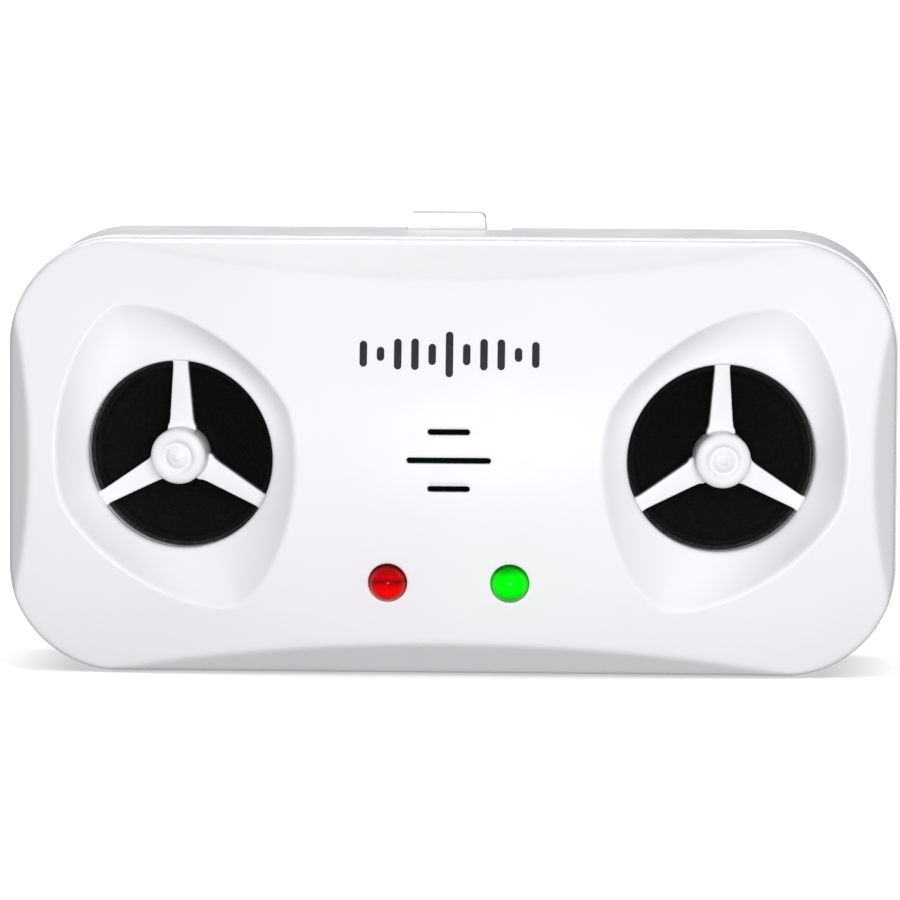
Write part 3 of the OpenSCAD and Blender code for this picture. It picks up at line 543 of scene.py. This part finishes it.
# ---------------------------------------------------------------- speaker guards
HUB_R, HUB_RISE, HUB_EDGE, HUB_GROOVE_R = 3.75, 2.5, 1.0, 1.75
HUB_BACK = -1.9
GUARD_GAP = 0.1                 # between the lip and the guard's ring
GUARD_LAP = 1.55                # overlap of the ring behind the lip
SPOKE_IN, SPOKE_OUT = 3.3, 1.9  # spoke width at the hub and at the ring
SPOKE_BACK, SPOKE_FRONT, SPOKE_EDGE = -1.85, -0.62, 0.22
CONE_RIM, CONE_DEPTH = -2.5, 5.7
APEX_R, FLARE_R = 3.1, 11.3
PAPER_T = 0.28


def guard_mesh():
    ring_front = -LIP - GUARD_GAP
    ring_t = WALL - LIP - GUARD_GAP
    r_in, r_out = OPEN_R + 0.02, OPEN_R + GUARD_LAP
    e = 0.2
    ring = [(r_out, ring_front - ring_t), (r_out, ring_front - e)]
    ring += arc(r_out - e, ring_front - e, e, 0, 90, 4)
    ring += arc(r_in + e, ring_front - e, e, 90, 180, 4)
    ring += [(r_in, ring_front - ring_t), (r_out, ring_front - ring_t)]
    hub = [(0, HUB_BACK), (HUB_R - 0.2, HUB_BACK), (HUB_R, HUB_BACK + 0.2)]
    hub += arc(HUB_R - HUB_EDGE, HUB_RISE - HUB_EDGE, HUB_EDGE, 0, 90, 14)
    for r in np.linspace(HUB_R - HUB_EDGE - 0.08, 0, 40):
        groove = -0.55 * math.exp(-((r - HUB_GROOVE_R) / 0.42) ** 2)
        boss = 0.12 * math.exp(-(r / 0.9) ** 4) + 0.22 * math.exp(-(r / 0.42) ** 4)
        hub.append((r, HUB_RISE + groove + boss))
    pieces = [lathe(ring, 192), lathe(hub, 96)]
    back, front, edge = SPOKE_BACK, SPOKE_FRONT, SPOKE_EDGE
    for turn in (90, 210, 330):
        xs = np.concatenate([np.linspace(HUB_R - 1.2, HUB_R + 2.2, 18),
                             np.linspace(HUB_R + 2.5, OPEN_R + 0.3, 22)])
        half = []
        for x in xs:
            t = (x - HUB_R) / (OPEN_R - HUB_R)
            w = SPOKE_IN + (SPOKE_OUT - SPOKE_IN) * t
            w += 0.5 * math.exp(-max(x - HUB_R, 0) / 0.35) + 0.4 * math.exp(-max(OPEN_R - x, 0) / 0.3)
            half.append(w / 2)
        verts, faces = [], []
        rows = []
        for x, w in zip(xs, half):
            row = []
            for sgn in (1, -1):
                side = [(x, sgn * w, back), (x, sgn * w, front - edge)]
                side += [(x, sgn * (w - edge * (1 - math.cos(q))), front - edge + edge * math.sin(q))
                         for q in np.linspace(0.4, math.pi / 2, 4)]
                row.append(side)
            line = row[0] + row[1][::-1]
            rows.append(range(len(verts), len(verts) + len(line)))
            verts += line
        for a, b in zip(rows, rows[1:]):
            for k in range(len(a)):
                n = (k + 1) % len(a)
                faces.append([a[k], a[n], b[n], b[k]])
        faces += [list(rows[0])[::-1], list(rows[-1])]
        rot = Matrix.Rotation(math.radians(turn), 4, "Z")
        pieces.append((at_matrix(rot, verts), faces))
    return merge(*pieces)


def cone_mesh():
    """Pressed paper cone: flat rim, half-round surround, curved flare and flat apex."""
    rim_w, depth, apex_r, flare_r = CONE_RIM, CONE_DEPTH, APEX_R, FLARE_R
    front = [(14.6, rim_w), (12.75, rim_w)]
    front += arc(12.0, rim_w - 0.02, 0.6, 20, 160, 10)
    for t in np.linspace(0, 1, 26):
        r = flare_r + (apex_r - flare_r) * t
        w = rim_w - 0.1 - (depth - 0.1) * (1 - (1 - t) ** 1.25)
        front.append((r, w))
    front += [(apex_r - 0.4, rim_w - depth), (0, rim_w - depth)]
    return lathe(front, 180)


for s, side in ((-1, "left"), (1, "right")):
    m = speaker_matrix(s)
    v, f = guard_mesh()
    guard = new_object(f"guard_{side}_detail", at_matrix(m, v), f)
    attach(guard, "case")
    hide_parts(f"guard_{side}")
    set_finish(guard, "guard_white")
    v, f = cone_mesh()
    cone = new_object(f"speaker_cone_{side}_detail", at_matrix(m, v), f)
    thick = cone.modifiers.new("paper", "SOLIDIFY")
    thick.thickness = PAPER_T * MM
    thick.offset = -1
    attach(cone, "case")
    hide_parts(f"speaker_cone_{side}")
    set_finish(cone, "paper_black")


# ---------------------------------------------------------------- lights (LEDs)
def led_mesh():
    low, high = (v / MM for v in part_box("led_red"))
    tip = -(low.y)
    base = -(high.y)
    straight = tip - LED_R
    flange_r, shoulder = LED_R + LED_FLANGE_W, base + LED_FLANGE_T
    prof = [(0, base), (flange_r, base), (flange_r, shoulder), (LED_R, shoulder)]
    prof += [(LED_R, shoulder + (straight - shoulder) * t) for t in (0.33, 0.66)]
    prof += arc(0, straight, LED_R, 0, 90, 28)
    prof[-1] = (0, tip)
    return lathe(prof, 96)


for s, name in ((-1, "led_red"), (1, "led_green")):
    v, f = led_mesh()
    m = Matrix.Translation((s * LED_X, 0, LED_Z)) @ Matrix.Rotation(math.pi / 2, 4, "X")
    dome_obj = new_object(f"{name}_lens", at_matrix(m, v), f)
    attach(dome_obj, "case")
    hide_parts(name)
    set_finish(dome_obj, name)


# ---------------------------------------------------------------- materials
class Surface:
    """Small helper for building a procedural material."""

    def __init__(self, name, color, rough, **sockets):
        self.mat = bpy.data.materials.new(name)
        self.mat.use_nodes = True
        self.nt = self.mat.node_tree
        self.bsdf = self.nt.nodes["Principled BSDF"]
        self.bsdf.inputs["Base Color"].default_value = (*color, 1)
        self.bsdf.inputs["Roughness"].default_value = rough
        for key, value in sockets.items():
            self.bsdf.inputs[key.replace("_", " ")].default_value = value
        self.color, self.rough = color, rough
        coord = self.nt.nodes.new("ShaderNodeTexCoord")
        self.where = coord.outputs["Object"]

    def noise(self, scale, detail=3.0, rough=0.5, stretch=None):
        n = self.nt.nodes.new("ShaderNodeTexNoise")
        n.inputs["Scale"].default_value = scale
        n.inputs["Detail"].default_value = detail
        n.inputs["Roughness"].default_value = rough
        src = self.where
        if stretch:
            m = self.nt.nodes.new("ShaderNodeMapping")
            m.inputs["Scale"].default_value = stretch
            self.nt.links.new(self.where, m.inputs["Vector"])
            src = m.outputs["Vector"]
        self.nt.links.new(src, n.inputs["Vector"])
        return n.outputs["Fac"]

    def ramp(self, fac, stops):
        r = self.nt.nodes.new("ShaderNodeValToRGB")
        e = r.color_ramp.elements
        while len(e) > 1:
            e.remove(e[-1])
        e[0].position, e[0].color = stops[0][0], (*stops[0][1], 1)
        for pos, col in stops[1:]:
            e.new(pos).color = (*col, 1)
        self.nt.links.new(fac, r.inputs["Fac"])
        return r.outputs["Color"]

    def tint(self, fac, low, high, lo=0.35, hi=0.65):
        """Varies the base colour between two multiples of itself."""
        a = tuple(min(1, c * low) for c in self.color)
        b = tuple(min(1, c * high) for c in self.color)
        self.nt.links.new(self.ramp(fac, [(lo, a), (hi, b)]), self.bsdf.inputs["Base Color"])
        return self

    def roughen(self, fac, low, high):
        r = self.nt.nodes.new("ShaderNodeMapRange")
        r.inputs["From Min"].default_value = 0.3
        r.inputs["From Max"].default_value = 0.7
        r.inputs["To Min"].default_value = low
        r.inputs["To Max"].default_value = high
        self.nt.links.new(fac, r.inputs["Value"])
        self.nt.links.new(r.outputs["Result"], self.bsdf.inputs["Roughness"])
        return self

    def bump(self, fac, height_mm, strength=1.0):
        b = self.nt.nodes.new("ShaderNodeBump")
        b.inputs["Strength"].default_value = strength
        b.inputs["Distance"].default_value = height_mm * MM
        self.nt.links.new(fac, b.inputs["Height"])
        last = getattr(self, "last_bump", None)
        if last:
            self.nt.links.new(last, b.inputs["Normal"])
        self.last_bump = b.outputs["Normal"]
        self.nt.links.new(self.last_bump, self.bsdf.inputs["Normal"])
        return self


def white_abs(name, color, rough):
    """Moulded ABS: satin, with faint sink variation and a fine spark-eroded grain."""
    s = Surface(name, color, rough, Specular_IOR_Level=0.5)
    s.tint(s.noise(35, 4), 0.975, 1.01)
    s.roughen(s.noise(160, 5), rough - 0.05, rough + 0.07)
    s.bump(s.noise(60, 2), 0.02, 0.25)
    s.bump(s.noise(5200, 2), 0.004, 0.35)
    return s.mat


def plain(name, color, rough, scale=400, spread=0.12, grain=0.01, metallic=0.0, stretch=None, **sockets):
    s = Surface(name, color, rough, Metallic=metallic, **sockets)
    s.tint(s.noise(scale, 4, stretch=stretch), 1 - spread, 1 + spread)
    s.roughen(s.noise(scale * 2, 3, stretch=stretch), max(rough - 0.08, 0.02), min(rough + 0.1, 1))
    s.bump(s.noise(scale * 5, 3, stretch=stretch), grain, 0.5)
    return s.mat


def paper():
    """Dyed pressed paper: felted fibres and a soft sheen."""
    s = Surface("paper_black", (0.004, 0.004, 0.0045), 0.8, Specular_IOR_Level=0.12)
    s.tint(s.noise(2600, 6, 0.75), 0.45, 2.4, 0.3, 0.75)
    s.roughen(s.noise(900, 4), 0.6, 0.85)
    s.bump(s.noise(1500, 6, 0.7), 0.12, 0.9)
    s.bump(s.noise(5200, 3, 0.6), 0.05, 0.6)
    return s.mat


def tinted_lens(name, stops, centre_z, emit):
    """Tinted epoxy coloured by height with painted light and shade: a painted brighter part below, a
    dark band for the lead frame across the middle, and painted darkening towards the top.
    """
    s = Surface(name, stops[0][1], 0.12, Specular_IOR_Level=0.5, IOR=1.22)
    split = s.nt.nodes.new("ShaderNodeSeparateXYZ")
    s.nt.links.new(s.where, split.inputs["Vector"])
    r = s.nt.nodes.new("ShaderNodeMapRange")
    r.inputs["From Min"].default_value = (centre_z - LED_R) * MM
    r.inputs["From Max"].default_value = (centre_z + LED_R) * MM
    s.nt.links.new(split.outputs["Z"], r.inputs["Value"])
    wob = s.nt.nodes.new("ShaderNodeMath")
    wob.operation = "MULTIPLY_ADD"
    wob.inputs[1].default_value = 0.16
    s.nt.links.new(s.noise(420, 2), wob.inputs[0])
    s.nt.links.new(r.outputs["Result"], wob.inputs[2])
    # painted light and shade: the base colour follows the height bands of the stops
    body = s.ramp(wob.outputs["Value"], stops)
    # painted shade: the lens colour darkens towards its rim, where the dome turns away from the camera
    rim = s.nt.nodes.new("ShaderNodeLayerWeight")
    rim.inputs["Blend"].default_value = 0.5
    shade = s.ramp(rim.outputs["Facing"], [(0.35, (1, 1, 1)), (0.95, (0.12, 0.12, 0.12))])
    mix = s.nt.nodes.new("ShaderNodeMix")
    mix.data_type = "RGBA"
    mix.blend_type = "MULTIPLY"
    mix.inputs["Factor"].default_value = 1.0
    s.nt.links.new(body, mix.inputs["A"])
    s.nt.links.new(shade, mix.inputs["B"])
    col = mix.outputs["Result"]
    # the painted bands and painted rim shade feed both the base colour and the glow
    s.nt.links.new(col, s.bsdf.inputs["Base Color"])
    s.nt.links.new(col, s.bsdf.inputs["Emission Color"])
    s.bsdf.inputs["Emission Strength"].default_value = emit
    s.bump(s.noise(900, 2), 0.003, 0.2)
    return s.mat


WHITE = (0.872, 0.864, 0.888)
# painted light and shade of the lights, from the bottom of the dome to its top
RED_PAINTED_LIGHT_STOPS = [(0.0, (0.60, 0.0, 0.001)), (0.35, (0.72, 0.0, 0.001)), (0.52, (0.50, 0.0, 0.001)),
             (0.62, (0.20, 0.0, 0.001)), (0.75, (0.45, 0.0, 0.002)), (1.0, (0.16, 0.0, 0.001))]
GREEN_PAINTED_LIGHT_STOPS = [(0.0, (0.0, 0.30, 0.001)), (0.25, (0.0, 0.62, 0.002)), (0.5, (0.0, 0.80, 0.003)),
               (0.8, (0.0, 0.62, 0.002)), (1.0, (0.0, 0.22, 0.001))]
materials = {
    "shell_white": white_abs("shell_white", WHITE, 0.36),
    "guard_white": white_abs("guard_white", (0.87, 0.872, 0.89), 0.32),
    "cap_white": white_abs("cap_white", (0.87, 0.872, 0.885), 0.34),
    "foam_black": plain("foam_black", (0.02, 0.02, 0.02), 0.95, 1800, 0.5, 0.08),
    "basket_black": plain("basket_black", (0.03, 0.03, 0.032), 0.5, 700, 0.3, 0.02),
    "paper_black": paper(),
    "brass": plain("brass", (0.78, 0.60, 0.28), 0.28, 500, 0.1, 0.004, 1.0, (1, 1, 8)),
    "ceramic": plain("ceramic", (0.80, 0.79, 0.75), 0.45, 900, 0.08, 0.01),
    "tag_board": plain("tag_board", (0.40, 0.25, 0.12), 0.55, 500, 0.2, 0.02, 0.0, (1, 6, 1)),
    "screw_steel": plain("screw_steel", (0.62, 0.62, 0.64), 0.3, 1500, 0.1, 0.004, 1.0, (1, 5, 1)),
    "led_red": tinted_lens("led_red", RED_PAINTED_LIGHT_STOPS, LED_Z, 0.4),
    "led_green": tinted_lens("led_green", GREEN_PAINTED_LIGHT_STOPS, LED_Z, 0.5),
    "tinned_metal": plain("tinned_metal", (0.72, 0.72, 0.73), 0.35, 1200, 0.1, 0.006, 1.0),
    "can_steel": plain("can_steel", (0.66, 0.66, 0.68), 0.3, 900, 0.08, 0.004, 1.0, (8, 1, 1)),
    "board_green": plain("board_green", (0.02, 0.16, 0.06), 0.3, 900, 0.25, 0.01, 0.0, (1, 1, 4),
                         Coat_Weight=0.3),
    "chip_black": plain("chip_black", (0.025, 0.025, 0.028), 0.55, 1200, 0.3, 0.02),
    "capacitor_sleeve": plain("capacitor_sleeve", (0.03, 0.035, 0.08), 0.25, 400, 0.15, 0.004,
                              Coat_Weight=0.3),
    "ferrite_coil": plain("ferrite_coil", (0.42, 0.16, 0.06), 0.3, 1200, 0.2, 0.03, 0.6, (1, 14, 1)),
    "resistor_tan": plain("resistor_tan", (0.55, 0.40, 0.22), 0.4, 700, 0.15, 0.01),
    "wire_red": plain("wire_red", (0.45, 0.03, 0.03), 0.4, 300, 0.1, 0.006),
    "label_white": plain("label_white", (0.80, 0.80, 0.80), 0.4, 500, 0.03, 0.004),
    "ink_black": plain("ink_black", (0.012, 0.012, 0.015), 0.45, 1500, 0.2, 0.004),
}
slot_of = {p["node"]: p["material_slot"] for p in frame["record"]["subparts"]}


def paint(obj, mat):
    obj.data.materials.clear()
    obj.data.materials.append(mat)


for name, obj in nodes.items():
    if name in slot_of:
        paint(obj, materials[slot_of[name]])
for obj in bpy.context.scene.objects:
    if obj.type == "MESH" and obj.get("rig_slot"):
        paint(obj, materials[obj["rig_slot"]])

# ---------------------------------------------------------------- floor, light, camera (metres)
FLOOR_HALF = 6.0
FLOOR_GLOW = 0.38
WORLD_GLOW = 0.28
floor_mesh = bpy.data.meshes.new("floor")
floor_corners = ((-1, -1), (1, -1), (1, 1), (-1, 1))
floor_mesh.from_pydata([(sx * FLOOR_HALF, sy * FLOOR_HALF, 0) for sx, sy in floor_corners],
                       [], [(0, 1, 2, 3)])
floor = bpy.data.objects.new("floor", floor_mesh)
bpy.context.scene.collection.objects.link(floor)
floor_mat = Surface("floor_white", (0.93, 0.93, 0.93), 0.95, Specular_IOR_Level=0.0)
floor_mat.bump(floor_mat.noise(900, 2), 0.01, 0.1)
floor_mat.bsdf.inputs["Emission Color"].default_value = (1, 1, 1, 1)
floor_mat.bsdf.inputs["Emission Strength"].default_value = FLOOR_GLOW
paint(floor, floor_mat.mat)
floor.visible_diffuse = False   # keeps the underside of the case in shade, as in the studio
floor.visible_glossy = False

world = bpy.data.worlds.new("studio")
world.use_nodes = True
bg = world.node_tree.nodes["Background"]
bg.inputs["Color"].default_value = (0.98, 0.98, 1.0, 1)
bg.inputs["Strength"].default_value = WORLD_GLOW
bpy.context.scene.world = world


def add_lamp(name, kind, at, aim, power):
    data = bpy.data.lights.new(name, kind)
    data.energy = power
    lamp = bpy.data.objects.new(name, data)
    lamp.location = at
    lamp.rotation_euler = (Vector(aim) - Vector(at)).to_track_quat("-Z", "Y").to_euler()
    bpy.context.scene.collection.objects.link(lamp)
    return lamp


def softbox(name, at, aim, size, power, height=None):
    lamp = add_lamp(name, "AREA", at, aim, power)
    lamp.data.shape = "RECTANGLE"
    lamp.data.size = size
    lamp.data.size_y = height or size
    return lamp


centre = (0.0, 0.0, 0.03)
front = softbox("front", (0.15, -1.25, 0.24), centre, 0.7, 10.6, 0.5)
front.visible_glossy = False
sheen = softbox("sheen", (0.05, -1.3, 0.045), centre, 0.3, 3.2, 0.08)
glint = softbox("glint", (0.42, -1.0, 0.75), centre, 0.3, 0.25)
softbox("top", (0.1, -0.1, 1.1), centre, 0.8, 0.5)
rear = softbox("rear", (-0.2, 1.0, 1.2), centre, 1.0, 15.0)
strip = softbox("strip", (0.15, -0.9, 1.0), centre, 1.6, 0.2, 0.1)
strip.visible_diffuse = False

# The floor has its own lamp, so that it stays white beside the shadow of the case.
floor_only = bpy.data.collections.new("floor_only")
floor_only.objects.link(floor)
overhead = add_lamp("overhead", "SUN", (0.03, -0.1, 1.0), (0, 0, 0), 2.2)
overhead.data.angle = math.radians(100)
overhead.light_linking.receiver_collection = floor_only
all_but_floor = bpy.data.collections.new("all_but_floor")
all_but_floor.objects.link(floor)
all_but_floor.collection_objects[0].light_linking.link_state = "EXCLUDE"
for lamp in (front, sheen, glint, strip, rear):
    lamp.light_linking.receiver_collection = all_but_floor

CAM_AZ, CAM_EL, CAM_ROLL = math.radians(2.16), math.radians(5.05), math.radians(0.27)
CAM_FAR, CAM_LENS = 0.975, 289.9
aim = Vector((-0.194, -10.0, 30.574)) * MM
toward = Vector((-math.sin(CAM_AZ) * math.cos(CAM_EL),
                 math.cos(CAM_AZ) * math.cos(CAM_EL),
                 -math.sin(CAM_EL)))
camera_data = bpy.data.cameras.new("camera")
camera_data.sensor_width = 36
camera_data.lens = CAM_LENS
camera_data.clip_start = 0.01
camera = bpy.data.objects.new("camera", camera_data)
camera.location = aim - toward * CAM_FAR
turn = toward.to_track_quat("-Z", "Y").to_matrix().to_4x4() @ Matrix.Rotation(CAM_ROLL, 4, "Z")
camera.rotation_euler = turn.to_euler()
bpy.context.scene.collection.objects.link(camera)
bpy.context.scene.camera = camera
bpy.context.scene.view_settings.view_transform = "Standard"
